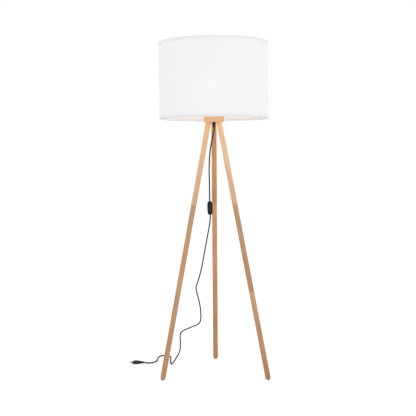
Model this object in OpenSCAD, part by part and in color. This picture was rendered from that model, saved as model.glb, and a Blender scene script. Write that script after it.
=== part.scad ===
// Tripod floor lamp: a drum shade over a round wooden head, three screwed-together
// wooden legs, and a black lead with a hand switch and a two-pin plug.
// Millimetres, +Z up. The origin is on the floor, on the lamp's centre line.
// The front of the lamp faces -Y; one leg points straight back, along +Y.

/* [Stand] */
// Height of the wooden head's underside above the floor
head_z = 1159; // [1120:1:1200]
// Diameter of the wooden head
head_d = 95; // [92:1:110]
// Thickness of the wooden head
head_h = 24; // [23:1:30]
// Rounding of the head's rims
head_round = 2; // [1:0.5:4]
// Diameter of the leg rods
leg_d = 24; // [20:0.5:25]
// Lean of each leg from upright
leg_tilt = 12; // [9:0.5:14]
// Distance from the centre line to each leg at the head's underside
leg_r = 28; // [27:0.5:31]
// Depth of the leg sockets in the head
socket_h = 8; // [6:0.5:9]
// Edge chamfer on the ends of the leg sections
leg_chamfer = 0.7; // [0.3:0.1:1.2]
// Rounding of the foot end of each leg
foot_round = 8; // [5:0.5:9]
// Height of the wood above the floor along the leg
foot_gap = 3; // [2.5:0.5:4]
// Diameter of the glide under each foot
glide_d = 14; // [12:1:15]

/* [Shade] */
// Outer diameter of the drum shade
shade_d = 500; // [450:5:550]
// Height of the drum shade
shade_h = 345; // [300:5:380]
// How far the shade's lower rim hangs below the head's top
shade_drop = 10; // [6:1:14]
// Thickness of the fabric, and of the stiff liner behind it
skin_t = 0.6; // [0.5:0.1:0.8]
// Height of the folded hems
hem_h = 12; // [8:1:16]
// Thickness of the hem tape
hem_t = 0.4; // [0.3:0.1:0.6]
// Diameter of the shade's wire rings
wire_d = 3; // [2.5:0.5:4]
// Diameter of the three carrier arms
arm_d = 4; // [3:0.5:5]
// Direction of the lapped seam, from +X
seam_angle = 84; // [60:1:120]

/* [Lampholder and bulb] */
// Outer diameter of the lampholder's screwed shell
holder_d = 39; // [38:0.5:40]
// Height of the lampholder
holder_h = 60; // [58:1:64]
// Largest diameter of the bulb
bulb_d = 60; // [55:1:64]
// Length of the bulb from its contact to its crown
bulb_l = 110; // [104:1:114]
// Outer diameter of the bulb's screw cap
cap_d = 26.4; // [26:0.1:26.5]

/* [Lead, switch and plug] */
// Diameter of the lead
cord_d = 6; // [5.4:0.2:6.4]
// Length of the tapered cord grip under the head
grip_l = 22; // [20:1:30]
// Length of the hand switch
switch_l = 62; // [60:1:72]
// Width of the hand switch
switch_w = 25; // [22:0.5:26]
// Depth of the hand switch
switch_t = 17; // [16:0.5:20]
// Lean of the hand switch in the hanging lead
switch_tilt = -1.8; // [-4:0.2:4]
// Travel of the rocker between off and on
rocker_travel = 14; // [10:1:16]
// Thickness of the plug body
plug_t = 13.6; // [13:0.2:14]

/* [Hidden] */

$fn = 96;
shade_fn = 240;   // smoothness of the shade's large rounds
small_fn = 32;    // smoothness of screws and wires
eps = 0.01;       // overlap that keeps cuts clean
gap = 0.05;       // radial play between parts that are screwed or pushed together
free_gap = 0.3;   // space between parts that move past each other

WOOD = [0.83, 0.66, 0.49];
STEEL = [0.72, 0.72, 0.73];
BRASS = [0.80, 0.66, 0.36];
BLACK = [0.06, 0.06, 0.065];
FABRIC = [0.95, 0.95, 0.95];
OPAL = [0.98, 0.97, 0.93];
CERAMIC = [0.90, 0.89, 0.86];
FELT = [0.33, 0.22, 0.15];

// Stand
LEGS = ["left", "right", "rear"];
LEG_ANGLES = [210, 330, 90];
SECTIONS = ["upper", "middle", "lower"];
head_top = head_z + head_h;
leg_end = foot_gap - head_z / cos(leg_tilt);
section_l = (socket_h - leg_end) / len(SECTIONS);
stud_d = 8;
stud_l = 50;
insert_d = 12;
insert_l = 20;
head_insert_l = 13;
glide_depth = 3;

// Fixing through the head
nipple_d = 10;
nipple_bore = 8;
nipple_reach = 12;
washer_d = 22;
washer_t = 1.5;
nut_af = 14;
nut_t = 4;
grip_top_d = 13;
grip_end_d = 9.5;
grip_edge = 0.8;
grip_straight = 0.45;   // share of the grip that isn't tapered
grip_screw_d = 2.5;
grip_screw_l = 2.2;
grip_screw_at = 0.7;    // share of the grip above its screw

// Lampholder, measured up from its foot
holder_z = head_top + washer_t + nut_t + 0.5;
neck_d = 16;
neck_h = 8;
cap_h = 28;
wall = 2;
shoulder_z = 30;
shoulder_h = 3;
shoulder_d = 46;
shell_r = holder_d / 2;
thread_h = 0.7;
thread_pitch = 3.6;
thread_turns = 6;
mouth_r = cap_d / 2 + 0.9;
contact_z = 33;
contact_t = 1.2;
strip_l = 18;
strip_w = 5;
strip_t = 0.5;
core_z = 19;
core_shoulder = 3;
terminal_x = 10;
terminal_d = 3;
terminal_h = 8;
terminal_head_d = 5;
shell_sheet = 0.4;

// Bulb, measured up from the lampholder's foot
tip_z = contact_z + free_gap;
cap_z = tip_z + 4;
cap_l = 23;
cap_top = cap_z + cap_l;
crown_z = tip_z + bulb_l;
globe_r = bulb_d / 2;
globe_z = crown_z - globe_r;
globe_cut = 12;
globe_wall = 1.2;

// Shade
shade_r = shade_d / 2;
shade_bottom = head_top - shade_drop;
shade_top = shade_bottom + shade_h;
liner_r = shade_r - skin_t;
wire_r = liner_r - skin_t - wire_d / 2 - 0.2;
wire_low_z = shade_bottom + hem_t + wire_d / 2 + 0.1;
carrier_z = holder_z + shoulder_z + shoulder_h + free_gap;
carrier_t = 2;
carrier_bore_r = shell_r + thread_h + free_gap;
carrier_r = 28;
ring_h = 10;
ring_flange_r = 26;
ring_flange_t = 2;
ring_neck_r = 23;
ring_notches = 12;
notch_r = 1.6;
ARM_ANGLES = [30, 150, 270];
ARMS = ["right", "left", "front"];
seam_lap = 2.4;    // how far the cloth laps over itself, in degrees

// Hand switch, in its own frame: Z along the lead, the rocker facing -Y
switch_at = [-20.5, 0, 765];
switch_end_w = 14;
switch_end_t = 10;
rocker_l = 24;
rocker_w = 9;
window_l = 27;
pivot_y = -5;
pivot_d = 2.4;
pivot_l = 13;
chamber_w = 9.2;
chamber_l = 38;
cord_in_switch = 9;
screw_d = 2.5;
screw_x = 7;
screw_z = 14;
screw_seat = 5.9;
screw_tip = -5;
screw_head_d = 4;
screw_head_h = 1.5;
slot_w = 0.7;
slot_t = 0.6;
rail_x = 3;
rail_y = 3.4;
rail_w = 2;
rail_t = 0.8;
rail_l = 32;
clamp_w = 2.6;
clamp_t = 2.8;
clamp_l = 4;
clamp_z = 15;

// Plug, in its own frame: Z runs from the lead's entry out to the pins, X across both pins
plug_at = [-350, 171, plug_t / 2];
plug_turn = 175;
tail_l = 16;
tail_d = 9;
plug_l = 50;
plug_w = 35;
pin_d = 4;
pin_core_d = 2.6;
sleeve_d = 3.5;
pin_l = 19;
pin_root = 8;
sleeve_l = 10;
pin_space = 18.6;
cord_in_plug = 8;

// Route of the lead. It leaves the grip straight down, passes the switch and is bent
// twice above the floor by the folds it was packed in. Then it lies on the floor in one
// long loop to the plug.
cord_r = cord_d / 2;
grip_end = head_z - grip_l;
HANG = [
    [0, 0, grip_end], [0, 0, 1120], [-9, -2, 1078], [-19, -3, 1020], [-23, -2, 950],
    [-22, 0, 860], on_switch(switch_l / 2 + 6), on_switch(switch_l / 2 - cord_in_switch)
];
DROP = [
    on_switch(cord_in_switch - switch_l / 2), on_switch(-switch_l / 2 - 6), [-22, 2, 695],
    [-35, 8, 625], [-50, 17, 545], [-64, 27, 475], [-79, 35, 422], [-88, 40, 395],
    [-84, 46, 362], [-74, 52, 320], [-68, 58, 275], [-68, 62, 240], [-74, 65, 219],
    [-88, 70, 208], [-110, 79, 198], [-130, 89, 187], [-149, 98, 178], [-162, 104, 167],
    [-168, 108, 150], [-167, 113, 115], [-169, 117, 82], [-178, 120, 56], [-189, 122, 38],
    [-199, 125, 22], [-208, 134, 9], [-214, 153, cord_r]
];
FLOOR = [
    [-219, 190, cord_r], [-222, 242, cord_r], [-224, 290, cord_r], [-233, 316, cord_r],
    [-255, 327, cord_r], [-277, 317, cord_r], [-286, 290, cord_r], [-287, 240, cord_r],
    [-292, 202, cord_r], [-306, 177, cord_r], [-328, 169, 4], plug_at, on_plug(cord_in_plug)
];
ring_step = 24;
cord_sides = 12;

// ---------------------------------------------------------------- helpers

function unit(v) = v / norm(v);

// A point of the switch's own centre line, z above its middle
function on_switch(z) = switch_at + z * [sin(switch_tilt), 0, cos(switch_tilt)];

// A point of the plug's own centre line, z beyond its lead entry
function on_plug(z) = plug_at + z * [cos(plug_turn), sin(plug_turn), 0];

// Direction of a route at its point i
function heading(route, i) =
    unit(route[min(i + 1, len(route) - 1)] - route[max(i - 1, 0)]);

// Smooth curve between two points of a route, at t from 0 to 1, never below the floor
function glide(p, a, b, q, t) =
    let (s = 0.5 * (2 * a + (b - p) * t + (2 * p - 5 * a + 4 * b - q) * t * t
        + (3 * a - p - 3 * b + q) * t * t * t))
    [s.x, s.y, max(s.z, cord_r)];

// The route's points with extra ones between them, about a step apart
function smooth_route(route, step) = let (last = len(route) - 1) [
    for (i = [0:last - 1])
        let (steps = max(1, round(norm(route[i + 1] - route[i]) / step)))
        for (k = [0:steps - 1])
            glide(i == 0 ? 2 * route[0] - route[1] : route[i - 1], route[i], route[i + 1],
                i + 1 == last ? 2 * route[last] - route[last - 1] : route[i + 2], k / steps),
    route[last]
];

// The part of u that is square to the direction t
function square_to(u, t) = unit(u - (u * t) * t);

// Arc of points about [x, y]
function arc(x, y, r, from, to, steps = 8) =
    [for (i = [0:steps]) let (a = from + (to - from) * i / steps) [x + r * cos(a), y + r * sin(a)]];

// A closed outline from its right half
function both_sides(half) =
    concat(half, [for (i = [len(half) - 1:-1:0]) [-half[i].x, half[i].y]]);

// A round lead swept along a route
module lead(route) {
    path = smooth_route(route, ring_step);
    count = len(path);
    aims = [for (i = [0:count - 1]) heading(path, i)];
    sides = [for (i = 0, u = square_to([0, 1, 0], aims[0]); i < count;
        i = i + 1, u = square_to(u, aims[min(i, count - 1)])) u];
    points = [for (i = [0:count - 1], k = [0:cord_sides - 1])
        let (a = 360 * k / cord_sides)
        path[i] + cord_r * (cos(a) * sides[i] + sin(a) * cross(aims[i], sides[i]))];
    walls = [for (i = [0:count - 2], k = [0:cord_sides - 1])
        let (n = (k + 1) % cord_sides, a = i * cord_sides, b = a + cord_sides)
        [a + k, b + k, b + n, a + n]];
    first_cap = [for (k = [0:cord_sides - 1]) k];
    last_cap = [for (k = [cord_sides - 1:-1:0]) (count - 1) * cord_sides + k];
    polyhedron(points, concat(walls, [first_cap, last_cap]));
}

// Moves into a leg's own frame: Z up along the leg, from the head's underside
module on_leg(angle) {
    rotate([0, 0, angle]) translate([leg_r, 0, head_z]) rotate([0, -leg_tilt, 0]) children();
}

module on_every_leg() {
    for (angle = LEG_ANGLES) on_leg(angle) children();
}

// A rod or hole along Z from z to z + h
module pin(d, z, h) {
    translate([0, 0, z]) cylinder(d = d, h = h);
}

module tube(d, bore, z, h) {
    difference() {
        pin(d, z, h);
        pin(bore, z - eps, h + 2 * eps);
    }
}

// A ring turned about Z from a flat outline of [radius, height] points
module turned(outline, fn = $fn) {
    rotate_extrude($fn = fn) polygon(outline);
}

// ---------------------------------------------------------------- stand

module head_disc() {
    r = head_d / 2;
    color(WOOD) difference() {
        turned(concat([[0, head_z]], arc(r - head_round, head_z + head_round, head_round, -90, 0),
            arc(r - head_round, head_top - head_round, head_round, 0, 90), [[0, head_top]]));
        pin(nipple_d + 2 * gap, head_z - 1, head_h + 2);
        on_every_leg() {
            pin(leg_d + 2 * gap, -leg_d, leg_d + socket_h);
            pin(insert_d + 2 * gap, socket_h - eps, head_insert_l + 2 * gap);
        }
    }
}

module head_inserts() {
    color(BRASS) on_every_leg()
        tube(insert_d, stud_d + 2 * gap, socket_h + gap, head_insert_l);
}

module head_studs() {
    color(STEEL) on_every_leg()
        pin(stud_d, socket_h - stud_l / 2 + gap, stud_l / 2 + head_insert_l - 1);
}

// Top of a leg's section, counted from the head
function section_top(index) = socket_h - index * section_l;

module leg_inserts() {
    color(BRASS) on_every_leg() for (index = [1, 2])
        tube(insert_d, stud_d + 2 * gap, section_top(index) - insert_l, insert_l - gap);
}

module leg_studs() {
    color(STEEL) on_every_leg() for (index = [1, 2])
        pin(stud_d, section_top(index) - stud_l / 2 + gap, stud_l - 2 * gap);
}

// Outline of a leg section, with a small chamfer at a joint and a round end at the foot
function leg_outline(bottom, top, is_foot) =
    let (r = leg_d / 2, c = leg_chamfer, f = foot_round)
    concat([[0, bottom]],
        is_foot ? arc(r - f, bottom + f, f, -90, 0) : [[r - c, bottom], [r, bottom + c]],
        [[r, top - c], [r - c, top], [0, top]]);

module leg_section(leg, index) {
    top = section_top(index);
    bottom = top - section_l;
    is_foot = index == len(SECTIONS) - 1;
    color(WOOD) on_leg(LEG_ANGLES[leg]) difference() {
        turned(leg_outline(bottom, top, is_foot), 64);
        pin(stud_d + 2 * gap, top - stud_l / 2, stud_l / 2 + 1);
        if (index > 0) pin(insert_d + 2 * gap, top - insert_l - gap, insert_l + 1);
        if (is_foot) pin(glide_d + 2 * gap, bottom - 1, 1 + glide_depth + gap);
        else pin(stud_d + 2 * gap, bottom - 1, 1 + stud_l / 2);
    }
}

module foot_glides() {
    color(FELT) difference() {
        on_every_leg() pin(glide_d, leg_end - leg_d / 2, leg_d / 2 + glide_depth);
        translate([0, 0, -leg_d]) cylinder(r = head_z, h = leg_d);
    }
}

// ---------------------------------------------------------------- fixing through the head

module nipple_tube() {
    color(STEEL) tube(nipple_d, nipple_bore, head_z - nipple_reach,
        nipple_reach + holder_z - head_z + neck_h);
}

module nipple_washer() {
    color(STEEL) tube(washer_d, nipple_d + 2 * gap, head_top, washer_t);
}

module nipple_nut() {
    color(STEEL) difference() {
        translate([0, 0, head_top + washer_t])
            cylinder(d = nut_af / cos(30), h = nut_t, $fn = 6);
        pin(nipple_d + 2 * gap, head_top, nut_t + washer_t + 1);
    }
}

module cord_grip() {
    top_r = grip_top_d / 2;
    end_r = grip_end_d / 2;
    color(BLACK) difference() {
        turned([[0, grip_end], [end_r - grip_edge, grip_end], [end_r, grip_end + grip_edge],
            [top_r, head_z - grip_l * grip_straight], [top_r, head_z - grip_edge],
            [top_r - grip_edge, head_z], [0, head_z]]);
        pin(nipple_d + 2 * gap, head_z - nipple_reach - gap, nipple_reach + 1);
        pin(cord_d + 2 * gap, grip_end - 1, grip_l);
        translate([0, 0, head_z - grip_l * grip_screw_at]) rotate([0, 90, 0])
            cylinder(d = grip_screw_d + 2 * gap, h = top_r + 1, $fn = small_fn);
    }
}

module grip_screw() {
    color(BLACK) translate([cord_r + gap, 0, head_z - grip_l * grip_screw_at]) rotate([0, 90, 0])
        cylinder(d = grip_screw_d, h = grip_screw_l, $fn = small_fn);
}

module cord_inner() {
    color(BLACK) pin(cord_d, grip_end, holder_z + neck_h + 3 - grip_end);
}

// ---------------------------------------------------------------- lampholder

module holder_cap() {
    color(BLACK) translate([0, 0, holder_z]) turned([
        [nipple_d / 2 + gap, 0], [neck_d / 2 - 0.8, 0], [neck_d / 2, 0.8], [neck_d / 2, neck_h - 2],
        [neck_d / 2 + 5, neck_h], [shell_r - 2, neck_h + 5], [shell_r, neck_h + 9],
        [shell_r, cap_h], [shell_r - wall, cap_h], [shell_r - wall, neck_h + 10],
        [shell_r - wall - 2, neck_h + 7], [neck_d / 2 + 4, neck_h + wall], [nipple_d / 2 + gap, neck_h + wall]
    ]);
}

// Rounded crests of the shell's outside thread, as plain rings
module thread_rings(r, first_z) {
    for (turn = [0:thread_turns - 1]) turned([
        [r - 1, first_z + turn * thread_pitch - 1.4], [r + thread_h, first_z + turn * thread_pitch - 0.4],
        [r + thread_h, first_z + turn * thread_pitch + 0.4], [r - 1, first_z + turn * thread_pitch + 1.4]
    ]);
}

module holder_shell() {
    color(BLACK) translate([0, 0, holder_z]) {
        turned([
            [shell_r - wall, cap_h + gap], [shell_r, cap_h + gap], [shell_r, shoulder_z - 1],
            [shoulder_d / 2, shoulder_z], [shoulder_d / 2, shoulder_z + shoulder_h],
            [shell_r, shoulder_z + shoulder_h], [shell_r, holder_h - 1.5], [shell_r - 1.5, holder_h],
            [mouth_r, holder_h], [mouth_r, holder_h - wall], [shell_r - wall, holder_h - wall - 1]
        ]);
        thread_rings(shell_r, shoulder_z + shoulder_h + 4);
    }
}

module holder_core() {
    core_r = shell_r - wall - 0.5;
    color(CERAMIC) translate([0, 0, holder_z]) difference() {
        turned([[0, core_z], [core_r - core_shoulder, core_z], [core_r, core_z + core_shoulder],
            [core_r, contact_z - contact_t], [0, contact_z - contact_t]]);
        for (side = [-1, 1]) translate([side * terminal_x, 0, core_z - 1])
            cylinder(d = terminal_d + 2 * gap, h = terminal_h, $fn = small_fn);
    }
}

module terminal_screws() {
    color(BRASS) for (side = [-1, 1]) translate([side * terminal_x, 0, holder_z + core_z]) {
        translate([0, 0, -2]) cylinder(d = terminal_d, h = terminal_h, $fn = small_fn);
        translate([0, 0, -3]) cylinder(d = terminal_head_d, h = 2, $fn = small_fn);
    }
}

module screw_shell() {
    inner = cap_d / 2 + gap;
    color(BRASS) translate([0, 0, holder_z]) turned([
        [inner, contact_z - contact_t], [inner + shell_sheet, contact_z - contact_t],
        [inner + shell_sheet, holder_h - wall - 0.2], [inner, holder_h - wall - 0.2]
    ]);
}

module centre_contact() {
    color(BRASS) translate([0, 0, holder_z]) {
        translate([-strip_l / 2, -strip_w / 2, contact_z - contact_t]) cube([strip_l, strip_w, strip_t]);
        translate([0, 0, contact_z - contact_t]) cylinder(d = 6, h = contact_t, $fn = small_fn);
    }
}

// Threaded ring that holds the shade's carrier down on the shoulder
module shade_ring() {
    low = carrier_z - holder_z + carrier_t + free_gap;
    inner = shell_r + thread_h + gap;
    color(BLACK) translate([0, 0, holder_z]) difference() {
        turned([[inner, low], [ring_flange_r, low], [ring_flange_r, low + ring_flange_t],
            [ring_neck_r, low + ring_flange_t + 1.5], [ring_neck_r - 0.4, low + ring_h],
            [inner, low + ring_h]]);
        for (notch = [0:ring_notches - 1]) rotate([0, 0, 360 / ring_notches * notch])
            translate([ring_neck_r + notch_r / 2, 0, low + ring_flange_t + 1.5])
                cylinder(r = notch_r, h = ring_h, $fn = small_fn);
    }
}

// ---------------------------------------------------------------- bulb

module bulb_globe() {
    rim_r = sqrt(globe_r * globe_r - globe_cut * globe_cut);
    tilt = atan2(globe_cut, rim_r);
    inside = globe_r - globe_wall;
    color(OPAL) translate([0, 0, holder_z]) turned(concat(
        arc(0, globe_z, globe_r, -tilt, 90, 24), arc(0, globe_z, inside, 90, -tilt, 24)), 96);
}

module bulb_body() {
    rim_r = sqrt(globe_r * globe_r - globe_cut * globe_cut);
    rim_z = globe_z - globe_cut;
    color(OPAL) translate([0, 0, holder_z]) turned([
        [0, cap_top + gap], [cap_d / 2 + 0.4, cap_top + gap], [cap_d / 2 + 0.8, cap_top + 6],
        [18.5, cap_top + 15], [rim_r - 2.5, rim_z - 6], [rim_r + 0.4, rim_z - gap],
        [rim_r - 4, rim_z - gap], [16, cap_top + 17], [0, cap_top + 12]
    ]);
}

module bulb_board() {
    rim_r = sqrt(globe_r * globe_r - globe_cut * globe_cut);
    color(CERAMIC) translate([0, 0, holder_z + globe_z - globe_cut - 1.6])
        cylinder(r = rim_r - 4.8, h = 1.4);
}

module bulb_cap() {
    inside = cap_d / 2 - 0.8;
    color(STEEL) translate([0, 0, holder_z]) {
        turned([[inside - 0.3, cap_z], [inside, cap_z], [inside, cap_top], [inside - 0.3, cap_top]]);
        for (turn = [0:5]) turned([
            [inside - 0.2, cap_z + 1.2 + turn * thread_pitch], [cap_d / 2, cap_z + 2.4 + turn * thread_pitch],
            [cap_d / 2, cap_z + 2.9 + turn * thread_pitch], [inside - 0.2, min(cap_z + 4.1 + turn * thread_pitch, cap_top)]
        ]);
    }
}

module bulb_insulator() {
    color(BLACK) translate([0, 0, holder_z])
        turned([[0, tip_z + 1.2], [5, tip_z + 1.2], [cap_d / 2 - 1.2, cap_z - gap], [0, cap_z - gap]]);
}

module bulb_contact() {
    color(STEEL) translate([0, 0, holder_z])
        turned(concat([[0, tip_z]], arc(2.8, tip_z + 1, 1, -90, 0), [[3.8, tip_z + 1.15], [0, tip_z + 1.15]]));
}

// ---------------------------------------------------------------- shade

module shade_fabric() {
    color(FABRIC) turned([
        [liner_r, shade_bottom + hem_t], [shade_r, shade_bottom + hem_t],
        [shade_r, shade_top - hem_t], [liner_r, shade_top - hem_t]
    ], shade_fn);
}

module shade_liner() {
    color(OPAL) turned([
        [liner_r - skin_t, shade_bottom + hem_t], [liner_r - gap, shade_bottom + hem_t],
        [liner_r - gap, shade_top - hem_t], [liner_r - skin_t, shade_top - hem_t]
    ], shade_fn);
}

module wire_ring(z) {
    color(STEEL) rotate_extrude($fn = shade_fn) translate([wire_r, z]) circle(d = wire_d, $fn = small_fn);
}

module shade_wire_bottom() {
    wire_ring(wire_low_z);
}

module shade_wire_top() {
    wire_ring(shade_top + shade_bottom - wire_low_z);
}

// Tape folded round a rim and its wire; side is 1 where the hem rises from the rim
module hem(rim_z, side) {
    inside = wire_r - wire_d / 2 - 0.2;
    back = liner_r - skin_t - gap;
    turned([
        [shade_r + gap, rim_z + side * hem_t], [shade_r + gap, rim_z + side * hem_h],
        [shade_r + hem_t, rim_z + side * hem_h], [shade_r + hem_t, rim_z],
        [inside - hem_t, rim_z], [inside - hem_t, rim_z + side * (wire_d + 1.5)],
        [back - hem_t, rim_z + side * (wire_d + 4)], [back - hem_t, rim_z + side * hem_h],
        [back, rim_z + side * hem_h], [back, rim_z + side * (wire_d + 3)],
        [inside, rim_z + side * (wire_d + 1)], [inside, rim_z + side * hem_t]
    ], shade_fn);
}

module shade_hem_bottom() {
    color(FABRIC) difference() {
        hem(shade_bottom, 1);
        for (angle = ARM_ANGLES) arm_rod(angle, arm_d + 2 * free_gap);
    }
}

module shade_hem_top() {
    color(FABRIC) hem(shade_top, -1);
}

module shade_seam() {
    color(FABRIC) rotate([0, 0, seam_angle - seam_lap / 2]) rotate_extrude(angle = seam_lap, $fn = shade_fn)
        translate([shade_r + gap, shade_bottom + hem_h + gap]) square([hem_t - gap, shade_h - 2 * hem_h - 2 * gap]);
}

module shade_carrier() {
    color(STEEL) tube(2 * carrier_r, 2 * carrier_bore_r, carrier_z, carrier_t);
}

// The line of a wire arm, from inside the lower ring's wire up to the carrier's rim
module arm_rod(angle, d) {
    from = [wire_r - 0.5, 0, wire_low_z];
    to = [carrier_r - 1, 0, carrier_z + carrier_t / 2];
    run = to - from;
    rotate([0, 0, angle]) translate(from) rotate([0, atan2(run.x, run.z), 0])
        cylinder(d = d, h = norm(run), $fn = small_fn);
}

module carrier_arm(angle) {
    color(STEEL) arm_rod(angle, arm_d);
}

// ---------------------------------------------------------------- hand switch

module on_switch_frame() {
    translate(switch_at) rotate([0, switch_tilt, 0]) children();
}

// A block along Z whose front and side views both follow an outline of
// [half width, height] points
module two_way_block(front, side, width, depth) {
    intersection() {
        rotate([90, 0, 0]) linear_extrude(depth, center = true) polygon(both_sides(front));
        rotate([90, 0, 90]) linear_extrude(width, center = true) polygon(both_sides(side));
    }
}

// Half-outline of the switch: full in the middle, narrow at both ends
function switch_half(full, end) =
    let (top = [[end / 2, switch_l / 2], [full / 2 - 2, switch_l / 2 - 6],
        [full / 2 - 0.5, switch_l / 2 - 13]])
    concat(top, [[full / 2, 0]], [for (i = [2:-1:0]) [top[i].x, -top[i].y]]);

module switch_block() {
    two_way_block(switch_half(switch_w, switch_end_w), switch_half(switch_t, switch_end_t),
        switch_w + 1, switch_t + 1);
}

// A round bar across the switch, on the rocker's pivot
module pivot_bar(d, l) {
    rotate([0, 90, 0]) cylinder(d = d, h = l, center = true, $fn = small_fn);
}

// Something at the place of each of the two closing screws, along the switch's depth
module at_switch_screws() {
    for (end = [-1, 1]) translate([end * screw_x, 0, end * screw_z]) rotate([90, 0, 0]) children();
}

// Room inside the switch for the rocker, the lead's ends, the contacts and the screws
module switch_hollow() {
    window_w = rocker_w + 2 * free_gap;
    translate([-window_w / 2, -switch_t, -window_l / 2])
        cube([window_w, switch_t + pivot_y + 2.5, window_l]);
    translate([-chamber_w / 2, pivot_y + 1, -chamber_l / 2]) cube([chamber_w, 9, chamber_l]);
    for (end = [-1, 1]) translate([0, 0, end * switch_l / 2])
        cylinder(d = cord_d + 2 * free_gap, h = switch_l - chamber_l, center = true);
    translate([0, pivot_y, 0]) pivot_bar(pivot_d + 2 * gap, pivot_l + 2 * free_gap);
    at_switch_screws() {
        translate([0, 0, -screw_seat]) cylinder(d = screw_d + 2 * gap, h = screw_seat - screw_tip, $fn = small_fn);
        translate([0, 0, -switch_t]) cylinder(d = screw_head_d + 4 * gap, h = switch_t - screw_seat, $fn = small_fn);
    }
}

// One half of the switch's case; side is -1 for the front and 1 for the back
module switch_case(side) {
    color(BLACK) on_switch_frame() difference() {
        switch_block();
        translate([-switch_w, side < 0 ? 0 : -switch_t, -switch_l]) cube([2 * switch_w, switch_t, 2 * switch_l]);
        switch_hollow();
    }
}

module switch_front() {
    switch_case(-1);
}

module switch_back() {
    switch_case(1);
}

module switch_rocker() {
    color(BLACK) on_switch_frame() translate([0, pivot_y, 0]) rotate([rocker_travel / 2, 0, 0]) {
        rotate([90, 0, 90]) linear_extrude(rocker_w, center = true) polygon([
            [-5.2, rocker_l / 2 - 0.6], [-4.6, rocker_l / 2], [0.6, rocker_l / 2 - 1], [1.6, 0],
            [0.6, 1 - rocker_l / 2], [-4.6, -rocker_l / 2], [-5.2, 0.6 - rocker_l / 2], [-4.2, 0]
        ]);
        pivot_bar(pivot_d, pivot_l);
    }
}

module switch_screws() {
    color(STEEL) on_switch_frame() at_switch_screws() {
        translate([0, 0, -screw_seat]) cylinder(d = screw_d, h = screw_seat - screw_tip - 0.5, $fn = small_fn);
        difference() {
            translate([0, 0, -screw_seat - screw_head_h])
                cylinder(d = screw_head_d, h = screw_head_h, $fn = small_fn);
            translate([-screw_head_d, -slot_w / 2, -screw_seat - screw_head_h - 1])
                cube([2 * screw_head_d, slot_w, slot_t + 1]);
        }
    }
}

module switch_contacts() {
    color(BRASS) on_switch_frame() for (side = [-1, 1]) translate([side * rail_x, 0, 0]) {
        translate([-rail_w / 2, rail_y, -rail_l / 2]) cube([rail_w, rail_t, rail_l]);
        for (end = [-1, 1]) translate([-clamp_w / 2, rail_y - clamp_t, end * clamp_z - clamp_l / 2])
            cube([clamp_w, clamp_t, clamp_l]);
    }
}

// ---------------------------------------------------------------- plug

module on_plug_frame() {
    translate(plug_at) rotate([0, 0, plug_turn]) rotate([90, 0, 90]) children();
}

module at_plug_pins() {
    for (side = [-1, 1]) translate([side * pin_space / 2, 0, 0]) children();
}

module plug_body() {
    color(BLACK) on_plug_frame() difference() {
        two_way_block(
            [[plug_w / 2 - 2, plug_l], [plug_w / 2, plug_l - 5], [plug_w / 2, plug_l - 17],
            [12, tail_l + 4], [7, tail_l - 1], [tail_d / 2 + 0.6, tail_l - 5], [tail_d / 2, 0]],
            [[plug_t / 2 - 0.8, plug_l], [plug_t / 2, plug_l - 1.5], [plug_t / 2, tail_l + 5],
            [tail_d / 2 + 0.8, tail_l - 3], [tail_d / 2, 0]],
            plug_w + 1, plug_t + 1);
        pin(cord_d + 2 * free_gap, -1, 1 + cord_in_plug + gap);
        at_plug_pins() pin(pin_core_d + 2 * gap, plug_l - pin_root, pin_root + 1);
    }
}

module plug_pins() {
    color(STEEL) on_plug_frame() at_plug_pins() {
        pin(pin_core_d, plug_l - pin_root + gap, pin_root + sleeve_l);
        turned(concat([[0, plug_l + sleeve_l], [pin_d / 2, plug_l + sleeve_l]],
            arc(pin_d / 2 - 1.2, plug_l + pin_l - 1.2, 1.2, 0, 90), [[0, plug_l + pin_l]]), small_fn);
    }
}

module plug_sleeves() {
    color(BLACK) on_plug_frame() at_plug_pins()
        tube(sleeve_d, pin_core_d + 2 * gap, plug_l + gap, sleeve_l - 2 * gap);
}

// ---------------------------------------------------------------- lead

module cord_upper() {
    color(BLACK) lead(HANG);
}

module cord_lower() {
    color(BLACK) lead(concat(DROP, FLOOR));
}

// ---------------------------------------------------------------- nodes

head_disc();
head_inserts();
head_studs();
leg_inserts();
leg_studs();
foot_glides();
for (leg = [0:len(LEGS) - 1], index = [0:len(SECTIONS) - 1])
    leg_section(leg, index);
nipple_tube();
nipple_washer();
nipple_nut();
cord_grip();
grip_screw();
cord_inner();
holder_cap();
holder_shell();
holder_core();
screw_shell();
centre_contact();
terminal_screws();
shade_ring();
bulb_globe();
bulb_body();
bulb_cap();
bulb_insulator();
bulb_contact();
bulb_board();
shade_fabric();
shade_liner();
shade_wire_top();
shade_wire_bottom();
shade_hem_top();
shade_hem_bottom();
shade_seam();
shade_carrier();
for (arm = [0:len(ARMS) - 1])
    carrier_arm(ARM_ANGLES[arm]);
switch_front();
switch_back();
switch_rocker();
switch_screws();
switch_contacts();
plug_body();
plug_pins();
plug_sleeves();
cord_upper();
cord_lower();
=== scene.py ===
"""Looks of a tripod floor lamp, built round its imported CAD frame.

Metres, +Z up, the lamp's front faces -Y. The CAD nodes keep their shapes and get their
finishes here; the cloth skin, the lead, the hand switch and the plug are made anew.
"""

import logging
import math
from collections.abc import Callable, Iterable, Sequence
from dataclasses import dataclass, field
from enum import Enum
from typing import Any

import bmesh
import bpy
from mathutils import Euler, Matrix, Vector


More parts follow.
